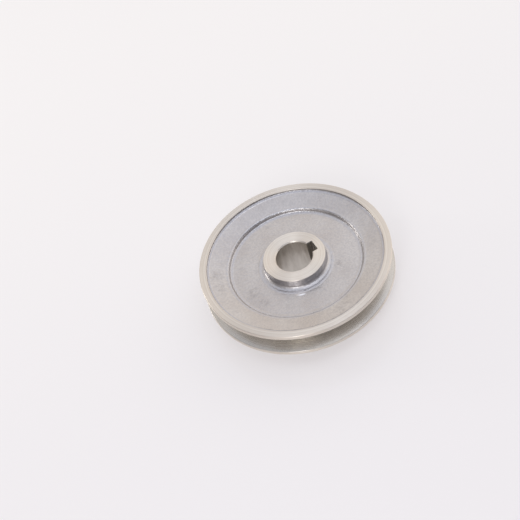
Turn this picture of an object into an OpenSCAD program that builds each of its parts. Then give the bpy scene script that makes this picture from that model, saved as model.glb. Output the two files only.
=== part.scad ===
// Single-groove V-belt pulley: a die-cast aluminium wheel with a keyed bore,
// held on its shaft by two socket set screws in the rear hub.
// The axis is Z, the origin is on the axis at the middle of the belt groove,
// +Z is the front side, and the keyway is on +X.

/* [Rim] */
// Outside diameter
rim_d = 125; // [110:1:160]
// Width over both flanges
rim_w = 19; // [18:0.5:24]
// Radial width of the turned land on each side of the rim
land_w = 4.8; // [3:0.1:6]
// Radius that breaks the rim's outer edges
rim_edge = 0.5; // [0.2:0.1:0.8]

/* [Belt groove] */
// Width of the groove at the outside diameter
groove_w = 13.2; // [12.6:0.1:14]
// Depth of the groove below the outside diameter
groove_depth = 12.5; // [11:0.5:13]
// Included angle of the groove's sides, in degrees
groove_angle = 34; // [34:2:38]
// Radius that breaks the groove's mouth
groove_edge = 0.4; // [0.2:0.1:0.6]

/* [Dish] */
// Depth of the step from the land to the cast shelf
land_step = 1.5; // [1:0.1:2]
// Fall of the shelf towards the middle, in degrees
shelf_fall = 12; // [8:1:15]
// Radius of the shelf's inner edge
shelf_r = 43.8; // [42:0.1:46]
// Thickness of the web
web_t = 5.6; // [3:0.1:6]
// Draft of the step from the shelf to the web, in degrees
step_draft = 12; // [5:1:20]

/* [Hub] */
// Diameter of the hub at its front face
hub_d = 40.4; // [38:0.2:44]
// Length of the hub
hub_len = 32; // [30:1:40]
// How far the hub stands out in front of the rim
hub_proud = 0.4; // [0:0.1:1]
// Draft of the hub's sides, in degrees
hub_draft = 1.5; // [1:0.5:3]
// Radius of the fillet between hub and web
hub_fillet = 2.6; // [1.5:0.1:3]

/* [Bore and keyway] */
// Diameter of the bore
bore_d = 24; // [22:1:25]
// Width and depth of the chamfer at each end of the bore
bore_chamfer = 0.7; // [0.3:0.1:1]
// Width of the keyway
key_w = 8; // [6:1:8]
// Depth of the keyway below the bore's wall
key_depth = 3.3; // [2.8:0.1:3.5]

/* [Set screws] */
// Thread diameter of both screws
screw_d = 6; // [5:1:6]
// Length of the screw over the keyway
key_screw_len = 5; // [4:0.5:5]
// Length of the screw that bears on the shaft
shaft_screw_len = 8; // [6:1:8]
// Width across the flats of the hexagon socket
socket_af = 3; // [2.5:0.5:3]
// Angle from the keyway to the screw that bears on the shaft
shaft_screw_angle = -90; // [-120:15:-60]

/* [Hidden] */

ARC_STEPS = 6;       // flats along a rounded corner
ROUND = 128;         // sides of a shown circle
PAST = 1;            // how far a cut runs past the metal
SCREW_SLACK = 0.05;  // radial clearance of a screw in its hole
CLAMP_GAP = 0.3;     // from a screw's point to what it clamps
SOCKET_SHARE = 0.45; // share of a screw's length that its socket takes

rim_r = rim_d / 2;
rim_z = rim_w / 2;
bore_r = bore_d / 2;
hub_r = hub_d / 2;
land_r = rim_r - land_w;
shelf_z = rim_z - land_step;
shelf_edge_z = shelf_z - (land_r - shelf_r) * tan(shelf_fall);
web_z = web_t / 2;
step_r = shelf_r - (shelf_edge_z - web_z) * tan(step_draft);
step_round = min(1.2, (shelf_edge_z - web_z) * 0.52); // at the step's foot; its top edge is rounder
groove_r = rim_r - groove_depth;
mouth_z = groove_w / 2;
floor_z = mouth_z - groove_depth * tan(groove_angle / 2);
hub_front_z = rim_z + hub_proud;
hub_rear_z = hub_front_z - hub_len;
hub_front_foot_r = hub_r + (hub_front_z - web_z) * tan(hub_draft);
hub_rear_foot_r = hub_r + (-web_z - hub_rear_z) * tan(hub_draft);

key_floor_r = bore_r + key_depth;
screw_r = screw_d / 2;
screw_z = (hub_rear_z - rim_z) / 2;
key_top_r = key_floor_r - CLAMP_GAP;
screw_hole_r = screw_r + SCREW_SLACK;

// Unit vector along v
function unit(v) = v / norm(v);

// Angle of v turned so that it lies within half a turn of the angle a
function near_angle(v, a) = let (b = atan2(v[1], v[0])) b - 360 * round((b - a) / 360);

// Points of the corner b between a and c, rounded with radius r
function corner(a, b, c, r) =
    let (u = unit(a - b), w = unit(c - b), half = acos(u * w) / 2)
    let (centre = b + unit(u + w) * r / sin(half), reach = r / tan(half))
    let (start = atan2((b + u * reach - centre)[1], (b + u * reach - centre)[0]))
    let (sweep = near_angle(b + w * reach - centre, start) - start)
    [for (i = [0:ARC_STEPS]) let (t = start + sweep * i / ARC_STEPS) centre + r * [cos(t), sin(t)]];

// Outline from corners [radius from the axis, z, rounding]; a rounding of 0 stays sharp
function outline(p) = [
    for (i = [0:len(p) - 1])
        let (a = p[(i + len(p) - 1) % len(p)], b = p[i], c = p[(i + 1) % len(p)])
        each b[2] == 0 ? [[b[0], b[1]]] : corner([a[0], a[1]], [b[0], b[1]], [c[0], c[1]], b[2])
];

// Half section of the casting, from the bore's front end out over the rim and back
casting_section = outline([
    [bore_r, hub_rear_z + bore_chamfer, 0],
    [bore_r, hub_front_z - bore_chamfer, 0],
    [bore_r + bore_chamfer, hub_front_z, 0],
    [hub_r, hub_front_z, 0.35],
    [hub_front_foot_r, web_z, hub_fillet],
    [step_r, web_z, step_round],
    [shelf_r, shelf_edge_z, step_round * 5 / 3],
    [land_r, shelf_z, land_step * 0.6],
    [land_r, rim_z, 0.35],
    [rim_r, rim_z, rim_edge],
    [rim_r, mouth_z, groove_edge],
    [groove_r, floor_z, 0.8],
    [groove_r, -floor_z, 0.8],
    [rim_r, -mouth_z, groove_edge],
    [rim_r, -rim_z, rim_edge],
    [land_r, -rim_z, 0.35],
    [land_r, -shelf_z, land_step * 0.6],
    [shelf_r, -shelf_edge_z, step_round * 5 / 3],
    [step_r, -web_z, step_round],
    [hub_rear_foot_r, -web_z, hub_fillet],
    [hub_r, hub_rear_z, 0.5],
    [bore_r + bore_chamfer, hub_rear_z, 0]
]);

// Places its children with Z pointing out of the hub through a screw hole
module at_screw(angle) {
    rotate([0, 0, angle]) translate([0, 0, screw_z]) rotate([0, 90, 0]) children();
}

// Straight slot for the key, open to the bore and to both ends of the hub
module keyway() {
    translate([0, -key_w / 2, hub_rear_z - PAST]) cube([key_floor_r, key_w, hub_len + 2 * PAST]);
}

// Tapped hole from the bore out through the rear hub
module screw_hole(angle) {
    at_screw(angle) cylinder(r = screw_hole_r, h = hub_r + PAST + screw_d, $fn = ROUND);
}

module pulley_casting() {
    color([0.74, 0.74, 0.76])
    difference() {
        rotate_extrude($fn = ROUND) polygon(casting_section);
        keyway();
        screw_hole(0);
        screw_hole(shaft_screw_angle);
    }
}

// Set screw with a hexagon socket and a cup point, its point at Z = 0
module set_screw(length) {
    cone = screw_d / 5;
    cup_r = screw_r / 2;
    color([0.16, 0.16, 0.17])
    difference() {
        rotate_extrude($fn = 48) polygon([
            [0, cup_r / 2],
            [cup_r, 0],
            [screw_r - cone, 0],
            [screw_r, cone],
            [screw_r, length - cone / 3],
            [screw_r - cone / 3, length],
            [0, length]
        ]);
        translate([0, 0, length * (1 - SOCKET_SHARE)])
            cylinder(d = socket_af / cos(30), h = length, $fn = 6);
    }
}

module key_grub_screw() {
    at_screw(0) translate([0, 0, key_top_r + CLAMP_GAP]) set_screw(key_screw_len);
}

module shaft_grub_screw() {
    at_screw(shaft_screw_angle) translate([0, 0, bore_r + CLAMP_GAP]) set_screw(shaft_screw_len);
}

pulley_casting();
key_grub_screw();
shaft_grub_screw();
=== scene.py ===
"""A die-cast aluminium V-belt pulley with its two set screws, on a pale studio floor.

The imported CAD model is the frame: the pulley's axis is Z, its front faces +Z and the keyway is on +X.
The pulley's dimensions are in millimetres until MM turns them into metres. Shaders and studio use metres.
"""

import math

import bmesh
import bpy
from mathutils import Matrix, Vector


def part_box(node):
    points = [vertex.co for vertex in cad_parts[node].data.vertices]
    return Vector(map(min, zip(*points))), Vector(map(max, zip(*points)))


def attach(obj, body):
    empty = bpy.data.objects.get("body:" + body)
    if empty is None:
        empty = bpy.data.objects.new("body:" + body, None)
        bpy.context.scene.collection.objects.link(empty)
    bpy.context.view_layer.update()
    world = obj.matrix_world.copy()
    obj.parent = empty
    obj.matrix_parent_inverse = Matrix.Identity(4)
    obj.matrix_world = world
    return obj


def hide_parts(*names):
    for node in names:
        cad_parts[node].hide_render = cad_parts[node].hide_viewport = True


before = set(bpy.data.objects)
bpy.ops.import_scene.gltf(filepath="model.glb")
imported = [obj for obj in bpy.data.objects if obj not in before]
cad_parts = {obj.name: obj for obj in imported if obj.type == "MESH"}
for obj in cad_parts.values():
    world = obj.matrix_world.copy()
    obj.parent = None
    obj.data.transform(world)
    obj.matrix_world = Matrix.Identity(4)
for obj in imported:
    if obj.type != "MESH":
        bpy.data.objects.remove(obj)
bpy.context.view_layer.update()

MM = 0.001

# ---------------------------------------------------------------- dimensions, in millimetres
casting_low, casting_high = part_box("pulley_casting")
RIM_R = casting_high.x / MM
HUB_FRONT_Z = casting_high.z / MM
HUB_REAR_Z = casting_low.z / MM

LAND_W, LAND_STEP, GROOVE_DEPTH = 4.8, 1.5, 12.5
SHELF_FALL, STEP_DRAFT, GROOVE_SLOPE = (math.tan(math.radians(a)) for a in (12, 12, 17))  # slopes

RIM_Z = 9.5  # half the rim's width
LAND_R = RIM_R - LAND_W  # where the turned land ends
SHELF_Z = RIM_Z - LAND_STEP
SHELF_R = 43.8  # inner edge of the sloping shelf
SHELF_EDGE_Z = SHELF_Z - (LAND_R - SHELF_R) * SHELF_FALL
WEB_Z = 2.8  # half the web's thickness
STEP_R = SHELF_R - (SHELF_EDGE_Z - WEB_Z) * STEP_DRAFT
STEP_ROUND = min(1.2, (SHELF_EDGE_Z - WEB_Z) * 0.52)  # at the step's foot; its top edge is rounder
SHELF_ROUND = STEP_ROUND * 5 / 3
MOUTH_Z = 6.6  # half the groove's width at the rim
GROOVE_R = RIM_R - GROOVE_DEPTH
FLOOR_Z = MOUTH_Z - GROOVE_DEPTH * GROOVE_SLOPE
HUB_R = 20.2
HUB_DRAFT = math.tan(math.radians(1.5))
HUB_FRONT_FOOT_R = HUB_R + (HUB_FRONT_Z - WEB_Z) * HUB_DRAFT
HUB_REAR_FOOT_R = HUB_R + (-WEB_Z - HUB_REAR_Z) * HUB_DRAFT
BORE_R = 12.0
BORE_CHAMFER = 0.7
KEY_HALF_W = 4.0
KEY_FLOOR_R = 15.3
SCREW_Z = (HUB_REAR_Z - RIM_Z) / 2
SCREW_HOLE_R = 3.05
SHAFT_SCREW_ANGLE = math.radians(-90)
SHAFT_TIP_R = BORE_R + 0.3  # the shaft screw's point, just clear of the shaft

AROUND = 288  # steps round the axis
CORNER_STEPS = 7  # steps along a rounded corner


def direction(azimuth, elevation):
    """Unit vector with that compass angle from +X towards +Y and that height, in degrees."""
    a, e = math.radians(azimuth), math.radians(elevation)
    return Vector((math.cos(a) * math.cos(e), math.sin(a) * math.cos(e), math.sin(e)))


# ---------------------------------------------------------------- shader helpers
class Nodes:
    """A short way to write a node tree."""

    def __init__(self, owner):
        owner.use_nodes = True
        self.tree = owner.node_tree
        self.tree.nodes.clear()

    def add(self, kind, inputs=None, **settings):
        """A node of that kind; inputs are values or output sockets by input name or number."""
        node = self.tree.nodes.new("ShaderNode" + kind)
        for name, value in settings.items():
            setattr(node, name, value)
        for key, value in (inputs or {}).items():
            if isinstance(value, bpy.types.NodeSocket):
                self.tree.links.new(value, node.inputs[key])
            else:
                node.inputs[key].default_value = value
        return node

    def math(self, operation, a, b=0.0):
        return self.add("Math", {0: a, 1: b}, operation=operation).outputs[0]

    def span(self, value, low, high, to_low=0.0, to_high=1.0, smooth=False):
        """value, taken from the span low..high to the span to_low..to_high."""
        kind = "SMOOTHSTEP" if smooth else "LINEAR"
        ends = {0: value, 1: low, 2: high, 3: to_low, 4: to_high}
        return self.add("MapRange", ends, interpolation_type=kind).outputs[0]

    def noise(self, vector, scale, detail=2.0, roughness=0.5):
        inputs = {"Vector": vector, "Scale": scale, "Detail": detail, "Roughness": roughness}
        return self.add("TexNoise", inputs).outputs["Fac"]

    def rings(self, place, scale, detail=2.0):
        """Noise that changes only along one number, such as the distance from the axis."""
        inputs = {"W": place, "Scale": scale, "Detail": detail}
        return self.add("TexNoise", inputs, noise_dimensions="1D").outputs["Fac"]

    def mix(self, share, a, b):
        """Colour a where share is 0 and b where it is 1."""
        node = self.add("Mix", data_type="RGBA")
        for socket, value in ((node.inputs[0], share), (node.inputs[6], a), (node.inputs[7], b)):
            if isinstance(value, bpy.types.NodeSocket):
                self.tree.links.new(value, socket)
            else:
                socket.default_value = value
        return node.outputs[2]

    def bump(self, height, distance, strength=1.0, normal=None):
        inputs = {"Height": height, "Distance": distance, "Strength": strength}
        if normal is not None:
            inputs["Normal"] = normal
        return self.add("Bump", inputs).outputs[0]

    def flat_place(self, place):
        """The place without its height along the Z axis."""
        flat = {0: place, 1: (1.0, 1.0, 0.0)}
        return self.add("VectorMath", flat, operation="MULTIPLY").outputs["Vector"]

    def axis_place(self):
        """Object coordinates, distance from the Z axis, and a number that grows along a turned profile."""
        place = self.add("TexCoord").outputs["Object"]
        radius = self.add("VectorMath", {0: self.flat_place(place)}, operation="LENGTH").outputs["Value"]
        height = self.add("SeparateXYZ", {0: place}).outputs[2]
        along = self.math("ADD", radius, self.math("MULTIPLY", height, 0.7))
        return place, radius, along

    def metal(self, color, roughness, normal, **fixed):
        """The metal surface, with fixed numbers set on the shader's own sockets."""
        inputs = {"Base Color": color, "Roughness": roughness, "Normal": normal, "Metallic": 1.0}
        shader = self.add("BsdfPrincipled", inputs)
        for name, value in fixed.items():
            shader.inputs[name.replace("_", " ").title()].default_value = value
        self.add("OutputMaterial", {"Surface": shader.outputs[0]})
        return shader


def material(name):
    made = bpy.data.materials.new(name)
    return made, Nodes(made)


# ---------------------------------------------------------------- materials
def turned_aluminium(name, tint, worn_tint, roughness, stretch):
    """Aluminium faced on a lathe: fine rings round the axis, which stretch its highlights."""
    made, n = material(name)
    place, radius, along = n.axis_place()
    fine = n.rings(along, 5200.0, 3.0)
    feed = n.rings(along, 1100.0, 1.0)
    smudge = n.noise(place, 55.0, 3.0, 0.6)
    share = n.span(n.math("ADD", n.math("MULTIPLY", feed, 0.5), n.math("MULTIPLY", smudge, 0.5)), 0.35, 0.65)
    color = n.mix(share, tint, worn_tint)
    ringed = n.span(fine, 0.3, 0.7, roughness - 0.05, roughness + 0.05)
    rough = n.math("ADD", ringed, n.span(smudge, 0.3, 0.7, -0.04, 0.04))
    normal = n.bump(feed, 0.00004, 0.25, n.bump(fine, 0.00001, 0.35))
    shader = n.metal(color, rough, normal, anisotropic=stretch, anisotropic_rotation=0.25)
    tangent = n.add("Tangent", direction_type="RADIAL", axis="Z")
    n.tree.links.new(tangent.outputs[0], shader.inputs["Tangent"])
    return made


STAINS = [  # dull marks: angle from the keyway in degrees, distance from the axis, radius
    (158, 51, 5.0),
    (171, 51.5, 5.5),
    (188, 34, 4.5),
    (206, 36, 4.0),
    (277, 52.5, 6.0),
    (322, 28, 3.0),
]


def spot(n, flat, angle, reach, radius):
    """1 at the middle of a round mark, and 0 away from it."""
    centre = direction(angle, 0) * reach * MM
    away = n.add("VectorMath", {0: flat, 1: centre}, operation="DISTANCE").outputs["Value"]
    return n.span(away, radius * 0.3 * MM, radius * 1.4 * MM, 1.0, 0.0, smooth=True)


def stain_mask(n, flat):
    """1 at the middle of each dull mark, and 0 away from them."""
    mask = spot(n, flat, *STAINS[0])
    for stain in STAINS[1:]:
        mask = n.math("MAXIMUM", mask, spot(n, flat, *stain))
    return mask


def near(n, radius, middle, reach):
    """1 where the distance from the axis is close to middle, and 0 beyond reach; both in millimetres."""
    away = n.math("ABSOLUTE", n.math("SUBTRACT", radius, middle * MM))
    return n.span(away, reach * 0.4 * MM, reach * MM, 1.0, 0.0, smooth=True)


def cast_aluminium():
    """The die-cast skin: satin grain, faint flow clouds, rings round the hub, rough edges, dull marks, a
    painted shade line at the land's foot, a painted cool reflection at the steps and the hub, and a painted
    glint on the first ejector print.
    """
    crease_shade_r, land_foot_r, step_r, print_edge_r, fillet_r = 57.3, 57.2, 43.4, 26.2, 22.9
    made, n = material("cast_skin")
    place, radius, _ = n.axis_place()
    flat = n.flat_place(place)
    clouds = n.noise(place, 38.0, 4.0, 0.55)
    patches = n.noise(place, 130.0, 3.0, 0.6)
    grain = n.noise(place, 1500.0, 3.0, 0.6)
    pits = n.noise(place, 620.0, 2.0, 0.5)
    waves = n.noise(place, 240.0, 2.0, 0.5)
    color = n.mix(n.span(clouds, 0.35, 0.65), (0.58, 0.535, 0.505, 1), (0.655, 0.62, 0.595, 1))
    color = n.mix(n.span(patches, 0.55, 0.75, 0.0, 0.3), color, (0.42, 0.395, 0.38, 1))
    color = n.mix(n.span(grain, 0.35, 0.65, 0.0, 0.16), color, (0.25, 0.24, 0.24, 1))
    # painted shade: a darker line in the crease at the foot of the turned land
    color = n.mix(n.math("MULTIPLY", near(n, radius, crease_shade_r, 1.1), 0.35), color, (0.30, 0.28, 0.30, 1))
    speckle = n.noise(place, 760.0, 2.0, 0.6)
    color = n.mix(n.span(speckle, 0.42, 0.6, 0.0, 0.22), color, (0.36, 0.345, 0.36, 1))
    blotch = n.span(n.noise(place, 330.0, 4.0, 0.7), 0.44, 0.62, 0.0, 0.36)
    color = n.mix(n.math("MULTIPLY", stain_mask(n, flat), blotch), color, (0.25, 0.225, 0.22, 1))
    steps = n.math("MAXIMUM", near(n, radius, step_r, 2.6), near(n, radius, land_foot_r, 1.6))
    edges = n.math("MAXIMUM", near(n, radius, fillet_r, 2.3), steps)
    # painted reflection: a cool bluish tint on the steps, the hub's fillet and the hub's side
    painted_cool_reflection = n.math("MAXIMUM", edges, near(n, radius, HUB_R, 1.6))
    color = n.mix(n.math("MULTIPLY", painted_cool_reflection, 0.5), color, (0.53, 0.53, 0.565, 1))
    # painted highlight: a near-white glint on the near edge of the first ejector print
    painted_glint = n.math("MULTIPLY", near(n, radius, print_edge_r, 0.7), spot(n, flat, 249, print_edge_r, 2.6))
    color = n.mix(painted_glint, color, (0.92, 0.90, 0.90, 1))
    rough = n.math("ADD", n.span(clouds, 0.3, 0.7, 0.29, 0.36), n.span(grain, 0.3, 0.7, -0.04, 0.05))
    near_hub = n.span(radius, 0.0215, 0.027, 1.0, 0.0, smooth=True)
    ripple = n.math("MULTIPLY", n.math("SINE", n.math("MULTIPLY", radius, 5700.0)), near_hub)
    normal = n.bump(ripple, 0.00002, 1.0, n.bump(grain, 0.00004, 0.7))
    normal = n.bump(waves, 0.0002, 0.45, n.bump(pits, 0.00014, 1.0, normal))
    lumps = n.math("MULTIPLY", n.noise(place, 520.0, 3.0, 0.6), edges)
    normal = n.bump(lumps, 0.00036, 1.0, normal)
    n.metal(color, rough, normal)
    return made


def bored_aluminium():
    """The bore's wall: reamed, scored along the axis and stained, with painted light that makes it brighter
    towards the rear.
    """
    made, n = material("bored_wall")
    place = n.add("TexCoord").outputs["Object"]
    height = n.add("SeparateXYZ", {0: place}).outputs[2]
    drawn = n.add("Mapping", {"Vector": place, "Scale": (1.0, 1.0, 0.3)}).outputs[0]
    blotch = n.noise(drawn, 190.0, 4.0, 0.6)
    score = n.noise(n.add("Mapping", {"Vector": place, "Scale": (1.0, 1.0, 0.06)}).outputs[0], 900.0, 2.0)
    color = n.mix(n.span(blotch, 0.35, 0.65), (0.38, 0.34, 0.295, 1), (0.64, 0.60, 0.545, 1))
    # painted light: the wall turns lighter towards the rear, as if lit from below through the bore
    color = n.mix(n.span(height, 0.006, -0.016, 0.0, 0.6, smooth=True), color, (0.86, 0.83, 0.78, 1))
    rough = n.span(score, 0.3, 0.7, 0.3, 0.48)
    normal = n.bump(score, 0.00003, 0.5, n.bump(blotch, 0.0001, 0.4))
    n.metal(color, rough, normal)
    return made


def broached_wall():
    """The keyway's walls: scratched along the axis by the broach, and darker than the bore's wall."""
    made, n = material("broached_wall")
    place = n.add("TexCoord").outputs["Object"]
    stretched = n.add("Mapping", {"Vector": place, "Scale": (1.0, 1.0, 0.03)}).outputs[0]
    lines = n.noise(stretched, 1800.0, 2.0)
    color = n.mix(n.span(lines, 0.35, 0.65), (0.37, 0.34, 0.305, 1), (0.54, 0.51, 0.465, 1))
    rough = n.span(lines, 0.3, 0.7, 0.38, 0.55)
    n.metal(color, rough, n.bump(lines, 0.00003, 0.5))
    return made


def black_steel():
    """Black-oxide steel, rubbed a little brighter on the crests of the thread."""
    made, n = material("black_oxide")
    place, radius, _ = n.axis_place()
    grain = n.noise(place, 2600.0, 3.0, 0.6)
    rub = n.math("MULTIPLY", n.span(radius, 0.00265, 0.003, smooth=True), n.span(grain, 0.35, 0.6))
    color = n.mix(n.math("MULTIPLY", rub, 0.55), (0.06, 0.06, 0.064, 1), (0.34, 0.33, 0.32, 1))
    rough = n.span(grain, 0.3, 0.7, 0.32, 0.5)
    n.metal(color, rough, n.bump(grain, 0.00002, 0.4))
    return made


def pale_floor():
    """A smooth sheet that gives off some light of its own, so that shadows on it stay faint."""
    made, n = material("pale_sheet")
    place = n.add("TexCoord").outputs["Object"]
    away = n.add("VectorMath", {0: place, 1: direction(76.6, 0)}, operation="DOT_PRODUCT").outputs["Value"]
    glow = n.mix(n.span(away, -0.3, 0.35, smooth=True), (0.79, 0.755, 0.785, 1), (0.93, 0.895, 0.885, 1))
    inputs = {"Base Color": (0.44, 0.43, 0.425, 1), "Roughness": 0.16, "IOR": 1.35, "Emission Color": glow}
    shader = n.add("BsdfPrincipled", inputs)
    shader.inputs["Emission Strength"].default_value = 0.545
    n.add("OutputMaterial", {"Surface": shader.outputs[0]})
    return made


FACED = turned_aluminium("faced_aluminium", (0.74, 0.67, 0.595, 1), (0.82, 0.765, 0.695, 1), 0.43, 0.82)
LAND_TURNED = turned_aluminium("turned_land", (0.695, 0.63, 0.56, 1), (0.795, 0.74, 0.67, 1), 0.44, 0.8)
# painted shade: the groove is given a darker colour than the turned land, for the shade in its hollow
RIM_TURNED = turned_aluminium("turned_groove", (0.54, 0.51, 0.47, 1), (0.645, 0.615, 0.57, 1), 0.28, 0.55)
BORED = bored_aluminium()
CAST = cast_aluminium()
BROACHED = broached_wall()
BLACK_STEEL = black_steel()
CASTING_MATERIALS = [CAST, FACED, LAND_TURNED, RIM_TURNED, BORED, BROACHED]
CAST_ZONE, FACED_ZONE, LAND_ZONE, GROOVE_ZONE, BORE_ZONE, BROACH_ZONE = range(6)


# ---------------------------------------------------------------- profile of the casting
def rounded_corner(before, corner, after, radius):
    """Points along the arc of that radius that rounds a corner of an outline."""
    u = (before - corner).normalized()
    w = (after - corner).normalized()
    half = u.angle(w) / 2
    centre = corner + (u + w).normalized() * radius / math.sin(half)
    start = corner + u * radius / math.tan(half) - centre
    end = corner + w * radius / math.tan(half) - centre
    sweep = math.atan2(start.x * end.y - start.y * end.x, start.dot(end))
    return [
        centre + Matrix.Rotation(sweep * i / CORNER_STEPS, 2) @ start
        for i in range(CORNER_STEPS + 1)
    ]


def casting_profile():
    """Closed half section: a list of (point, zone), where zone is that of the edge after the point."""
    rim_round, mouth_round, floor_round, land_round = 0.5, 0.4, 0.8, 0.35
    foot_round, hub_front_round, hub_rear_round, fillet, chamfer_round = 0.9, 0.35, 0.5, 2.6, 0.08
    corners = [  # radius, height, rounding, zone of the rounding, zone of the surface after it
        (BORE_R, HUB_REAR_Z + BORE_CHAMFER, 0, BORE_ZONE, BORE_ZONE),
        (BORE_R, HUB_FRONT_Z - BORE_CHAMFER, 0, BORE_ZONE, FACED_ZONE),
        (BORE_R + BORE_CHAMFER, HUB_FRONT_Z, chamfer_round, FACED_ZONE, FACED_ZONE),
        (HUB_R, HUB_FRONT_Z, hub_front_round, FACED_ZONE, CAST_ZONE),
        (HUB_FRONT_FOOT_R, WEB_Z, fillet, CAST_ZONE, CAST_ZONE),
        (STEP_R, WEB_Z, STEP_ROUND, CAST_ZONE, CAST_ZONE),
        (SHELF_R, SHELF_EDGE_Z, SHELF_ROUND, CAST_ZONE, CAST_ZONE),
        (LAND_R, SHELF_Z, foot_round, CAST_ZONE, CAST_ZONE),
        (LAND_R, RIM_Z, land_round, LAND_ZONE, LAND_ZONE),
        (RIM_R, RIM_Z, rim_round, LAND_ZONE, LAND_ZONE),
        (RIM_R, MOUTH_Z, mouth_round, GROOVE_ZONE, GROOVE_ZONE),
        (GROOVE_R, FLOOR_Z, floor_round, GROOVE_ZONE, GROOVE_ZONE),
        (GROOVE_R, -FLOOR_Z, floor_round, GROOVE_ZONE, GROOVE_ZONE),
        (RIM_R, -MOUTH_Z, mouth_round, GROOVE_ZONE, LAND_ZONE),
        (RIM_R, -RIM_Z, rim_round, LAND_ZONE, LAND_ZONE),
        (LAND_R, -RIM_Z, land_round, LAND_ZONE, CAST_ZONE),
        (LAND_R, -SHELF_Z, foot_round, CAST_ZONE, CAST_ZONE),
        (SHELF_R, -SHELF_EDGE_Z, SHELF_ROUND, CAST_ZONE, CAST_ZONE),
        (STEP_R, -WEB_Z, STEP_ROUND, CAST_ZONE, CAST_ZONE),
        (HUB_REAR_FOOT_R, -WEB_Z, fillet, CAST_ZONE, CAST_ZONE),
        (HUB_R, HUB_REAR_Z, hub_rear_round, CAST_ZONE, FACED_ZONE),
        (BORE_R + BORE_CHAMFER, HUB_REAR_Z, chamfer_round, FACED_ZONE, FACED_ZONE),
    ]
    places = [Vector(c[:2]) for c in corners]
    profile = []
    for i, (_, _, radius, round_zone, zone) in enumerate(corners):
        if radius == 0:
            profile.append((places[i], zone))
            continue
        arc = rounded_corner(places[i - 1], places[i], places[(i + 1) % len(places)], radius)
        profile += [(p, round_zone) for p in arc[:-1]] + [(arc[-1], zone)]
    return profile


def mesh_object(name, bm, materials):
    """A linked object made from bm, in millimetres, scaled to metres."""
    bmesh.ops.scale(bm, vec=(MM, MM, MM), verts=bm.verts)
    bmesh.ops.recalc_face_normals(bm, faces=bm.faces)
    mesh = bpy.data.meshes.new(name)
    bm.to_mesh(mesh)
    bm.free()
    for m in materials:
        mesh.materials.append(m)
    made = bpy.data.objects.new(name, mesh)
    bpy.context.scene.collection.objects.link(made)
    return made


def lathed(name, profile, materials):
    """The closed profile turned round the Z axis."""
    bm = bmesh.new()
    columns = []
    for k in range(AROUND):
        t = 2 * math.pi * k / AROUND
        columns.append([bm.verts.new((p.x * math.cos(t), p.x * math.sin(t), p.y)) for p, _ in profile])
    for k in range(AROUND):
        here, there = columns[k], columns[(k + 1) % AROUND]
        for i, (_, zone) in enumerate(profile):
            j = (i + 1) % len(profile)
            bm.faces.new((here[i], there[i], there[j], here[j])).material_index = zone
    return mesh_object(name, bm, materials)


# ---------------------------------------------------------------- what is cut from the casting
def add_loft(bm, sections, zone):
    """A closed solid through sections with the same number of points."""
    rings = [[bm.verts.new(p) for p in section] for section in sections]
    count = len(rings[0])
    for low, high in zip(rings, rings[1:]):
        for i in range(count):
            j = (i + 1) % count
            bm.faces.new((low[i], low[j], high[j], high[i])).material_index = zone
    bm.faces.new(reversed(rings[0])).material_index = zone
    bm.faces.new(rings[-1]).material_index = zone


def add_keyway(bm):
    """The key's slot, with small radii at its floor and a deburred edge at both ends."""
    deburr, floor_radius, past = 0.25, 0.3, 1.0

    def section(z, grow):
        floor, side = KEY_FLOOR_R + grow, KEY_HALF_W + grow
        corners = [(BORE_R / 2, -side), (floor, -side), (floor, side), (BORE_R / 2, side)]
        outline = [Vector(corner) for corner in corners]
        points = [outline[0]]
        points += rounded_corner(outline[0], outline[1], outline[2], floor_radius)
        points += rounded_corner(outline[1], outline[2], outline[3], floor_radius)
        points.append(outline[3])
        return [(p.x, p.y, z) for p in points]

    levels = [
        (HUB_REAR_Z - past, deburr + past),
        (HUB_REAR_Z + deburr, 0),
        (HUB_FRONT_Z - deburr, 0),
        (HUB_FRONT_Z + past, deburr + past),
    ]
    add_loft(bm, [section(z, grow) for z, grow in levels], BROACH_ZONE)


def add_screw_hole(bm, angle):
    """A tapped hole from the bore out through the rear hub, countersunk at its mouth."""
    steps, countersink = 48, 0.45
    mouth = HUB_R + 0.15
    past = 2
    levels = [
        (BORE_R / 2, SCREW_HOLE_R),
        (mouth - countersink, SCREW_HOLE_R),
        (mouth + past, SCREW_HOLE_R + countersink + past),
    ]
    turn = Matrix.Rotation(angle, 3, "Z")
    sections = []
    for reach, radius in levels:
        ring = [2 * math.pi * i / steps for i in range(steps)]
        circle = [Vector((reach, radius * math.cos(t), SCREW_Z + radius * math.sin(t))) for t in ring]
        sections.append([turn @ point for point in circle])
    add_loft(bm, sections, BORE_ZONE)


def add_ejector_marks(bm):
    """The shallow round prints that ejector pins leave in the front of the web, the first the deepest."""
    steps, pin_r, ring_r, first, count, wall = 40, 2.9, 29.0, math.radians(250), 6, 1.7
    deep, shallow, above = 0.4, 0.08, 0.2
    for k in range(count):
        t = first + 2 * math.pi * k / count
        centre = Vector((ring_r * math.cos(t), ring_r * math.sin(t), 0))
        sections = []
        for rise in (-deep if k == 0 else -shallow, above):
            radius = pin_r + rise * wall
            ring = [2 * math.pi * i / steps for i in range(steps)]
            circle = [Vector((radius * math.cos(a), radius * math.sin(a), WEB_Z + rise)) for a in ring]
            sections.append([centre + point for point in circle])
        add_loft(bm, sections, CAST_ZONE)


def cut(target, cutter):
    """Takes cutter away from target for good."""
    step = target.modifiers.new("cut", "BOOLEAN")
    step.operation = "DIFFERENCE"
    step.solver = "EXACT"
    step.object = cutter
    applied = bpy.data.meshes.new_from_object(target.evaluated_get(bpy.context.evaluated_depsgraph_get()))
    target.modifiers.clear()
    target.data = applied
    bpy.data.objects.remove(cutter)


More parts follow.
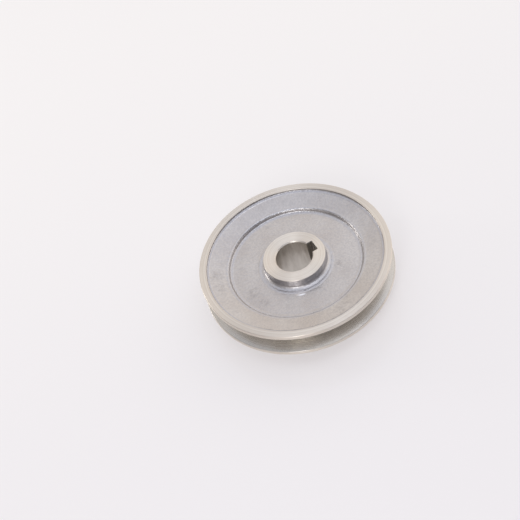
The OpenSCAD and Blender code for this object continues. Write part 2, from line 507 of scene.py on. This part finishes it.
def shade(made, sharp_degrees):
    """Smooth faces with crisp edges, where wide faces keep flat normals."""
    for face in made.data.polygons:
        face.use_smooth = True
    made.data.set_sharp_from_angle(angle=math.radians(sharp_degrees))
    weighted = made.modifiers.new("weighted_normals", "WEIGHTED_NORMAL")
    weighted.keep_sharp = True
    weighted.weight = 80


def build_casting():
    casting = lathed("casting", casting_profile(), CASTING_MATERIALS)
    bm = bmesh.new()
    add_keyway(bm)
    add_ejector_marks(bm)
    cut(casting, mesh_object("slot_cutter", bm, CASTING_MATERIALS))
    bm = bmesh.new()
    for angle in (0.0, SHAFT_SCREW_ANGLE):
        add_screw_hole(bm, angle)
    cut(casting, mesh_object("hole_cutter", bm, CASTING_MATERIALS))
    shade(casting, 32)
    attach(casting, "pulley")
    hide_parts("pulley_casting")


# ---------------------------------------------------------------- set screws
def screw_radius(z, angle, length):
    """Radius of an M6 set screw's surface: a thread, cut off by a 45 degree cone at each end."""
    crest, depth, pitch, flat = 2.98, 0.61, 1.0, 0.05  # flat is half a crest's or a root's width, in pitches
    point_r, head_bevel = 1.8, 0.42
    turn = (z / pitch - angle / (2 * math.pi)) % 1.0
    flank = (abs(turn - 0.5) - flat) / (0.5 - 2 * flat)
    thread = crest - depth * max(0.0, min(1.0, flank))
    point_cone = point_r + z
    head_cone = crest - head_bevel + (length - z)
    return min(thread, point_cone, head_cone)


def build_set_screw(name, node, body, angle, tip_r):
    """A socket set screw with a cup point, its point at tip_r from the pulley's axis."""
    low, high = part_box(node)
    lies_along_y = abs(math.sin(angle)) > 0.5
    length = (high.y - low.y if lies_along_y else high.x - low.x) / MM
    around, per_mm, flats, socket_af, bevel = 60, 12, 6, 3.0, 0.12
    centre_r, cup_depth, cup_r, drill_tip = 0.15, 0.72, 1.35, 0.5
    socket_share = 0.45
    socket_depth = length * socket_share
    bm = bmesh.new()

    def ring(radius_at, z):
        angles = [2 * math.pi * i / around for i in range(around)]
        return [bm.verts.new((radius_at(t) * math.cos(t), radius_at(t) * math.sin(t), z)) for t in angles]

    def hexagon(t):
        wedge = 2 * math.pi / flats
        return socket_af / 2 / math.cos((t % wedge) - wedge / 2)

    cup = [(centre_r, cup_depth), (cup_r, bevel)]
    rings = [ring(lambda t, r=r: r, z) for r, z in cup]
    rows = int(length * per_mm)
    for k in range(rows + 1):
        z = length * k / rows
        rings.append(ring(lambda t, z=z: screw_radius(z, t, length), z))
    rings.append(ring(lambda t: hexagon(t) + bevel, length))
    rings.append(ring(hexagon, length - bevel))
    rings.append(ring(hexagon, length - socket_depth))
    rings.append(ring(lambda t: centre_r, length - socket_depth - drill_tip))
    for a, b in zip(rings, rings[1:]):
        for i in range(around):
            j = (i + 1) % around
            bm.faces.new((a[i], a[j], b[j], b[i]))
    bm.faces.new(reversed(rings[0]))
    bm.faces.new(rings[-1])
    screw = mesh_object(name, bm, [BLACK_STEEL])
    laid_out = Matrix.Rotation(angle, 4, "Z") @ Matrix.Rotation(math.radians(90), 4, "Y")
    tip = Matrix.Rotation(angle, 3, "Z") @ Vector((tip_r * MM, 0, SCREW_Z * MM))
    screw.matrix_world = Matrix.Translation(tip) @ laid_out
    shade(screw, 40)
    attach(screw, body)
    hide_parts(node)


# ---------------------------------------------------------------- stage, lights and camera
def build_floor():
    """A wide round sheet under the hub's rear face."""
    radius_m = 6.0
    bm = bmesh.new()
    bmesh.ops.create_circle(bm, cap_ends=True, segments=96, radius=radius_m / MM)
    floor = mesh_object("floor", bm, [pale_floor()])
    floor.location.z = casting_low.z


def softbox(name, azimuth, elevation, distance, width, height, watts, color):
    """A rectangular lamp that faces the pulley."""
    lamp = bpy.data.lights.new(name, "AREA")
    lamp.shape = "RECTANGLE"
    lamp.size, lamp.size_y = width, height
    lamp.energy = watts
    lamp.color = color
    made = bpy.data.objects.new(name, lamp)
    toward = direction(azimuth, elevation)
    made.location = toward * distance
    made.rotation_mode = "QUATERNION"
    made.rotation_quaternion = toward.to_track_quat("Z", "Y")
    made.visible_camera = False  # its light and its reflections stay
    bpy.context.scene.collection.objects.link(made)


def build_tent():
    """The white studio round the pulley: cool above, warm at the sides, and dark at its two openings."""
    world = bpy.data.worlds.new("tent")
    bpy.context.scene.world = world
    n = Nodes(world)
    way = n.add("TexCoord").outputs["Generated"]

    def along(azimuth, elevation):
        """How much a view into the tent points that way: 1 when straight at it."""
        ends = {0: way, 1: direction(azimuth, elevation)}
        return n.add("VectorMath", ends, operation="DOT_PRODUCT").outputs["Value"]

    height = along(0, 90)
    walls = n.mix(n.span(height, 0.6, 0.92, smooth=True), (0.95, 0.905, 0.865, 1), (0.87, 0.91, 1.02, 1))
    above_table = n.span(height, 0.02, 0.25, smooth=True)
    open_front = n.span(along(295, 28), 0.70, 0.90, 0.0, 0.85, smooth=True)
    open_left = n.span(along(175, 33), 0.895, 0.965, 0.0, 0.66, smooth=True)
    dark = n.math("MULTIPLY", n.math("MAXIMUM", open_front, open_left), above_table)
    seen_by_metal = n.mix(dark, walls, (0.11, 0.12, 0.155, 1))
    strength = n.span(along(346.6, 0), -1.0, 1.0, 0.67, 1.33)
    tent = n.add("Background", {"Color": seen_by_metal, "Strength": strength})
    backdrop = n.add("Background", {"Color": (0.935, 0.92, 0.915, 1), "Strength": 1.0})
    eye = n.add("LightPath").outputs["Is Camera Ray"]  # the camera sees a plain backdrop, not the tent
    both = n.add("MixShader", {0: eye, 1: tent.outputs[0], 2: backdrop.outputs[0]})
    n.add("OutputWorld", {"Surface": both.outputs[0]})


def build_camera():
    """Looks down on the front at 49.5 degrees, rolled so that the pulley's axis leans left."""
    azimuth, elevation, roll = math.radians(-13.44), math.radians(49.53), math.radians(-18.65)
    distance = 0.75
    aim_left, aim_below = 0.0218, 0.0023
    level, height = math.cos(elevation), math.sin(elevation)
    back = Vector((math.sin(azimuth) * level, -math.cos(azimuth) * level, height))
    right = Vector((math.cos(azimuth), math.sin(azimuth), 0))
    up = back.cross(right)
    right, up = (
        right * math.cos(roll) + up * math.sin(roll),
        up * math.cos(roll) - right * math.sin(roll),
    )
    data = bpy.data.cameras.new("camera")
    data.sensor_width = 36.0
    data.lens = 81.35
    camera = bpy.data.objects.new("camera", data)
    land_centre = Vector((0, 0, RIM_Z * MM))
    place = land_centre - right * aim_left - up * aim_below + back * distance
    turn = Matrix((right, up, back)).transposed().to_4x4()
    camera.matrix_world = Matrix.Translation(place) @ turn
    bpy.context.scene.collection.objects.link(camera)
    bpy.context.scene.camera = camera


# ---------------------------------------------------------------- the scene
build_camera()
build_tent()
softbox("overhead", 300, 71, 1.0, 0.5, 0.5, 0.8, (0.92, 0.95, 1.0))
softbox("front_left", 232, 39, 1.0, 0.2, 0.3, 1.4, (0.97, 0.98, 1.0))
softbox("back_left", 137, 15, 1.1, 0.2, 0.2, 1.1, (1.0, 0.985, 0.96))
build_floor()

build_casting()
build_set_screw("set_screw_on_key", "key_grub_screw", "key_screw", 0.0, KEY_FLOOR_R)
build_set_screw("set_screw_on_shaft", "shaft_grub_screw", "shaft_screw", SHAFT_SCREW_ANGLE, SHAFT_TIP_R)

bpy.context.scene.view_settings.view_transform = "Standard"
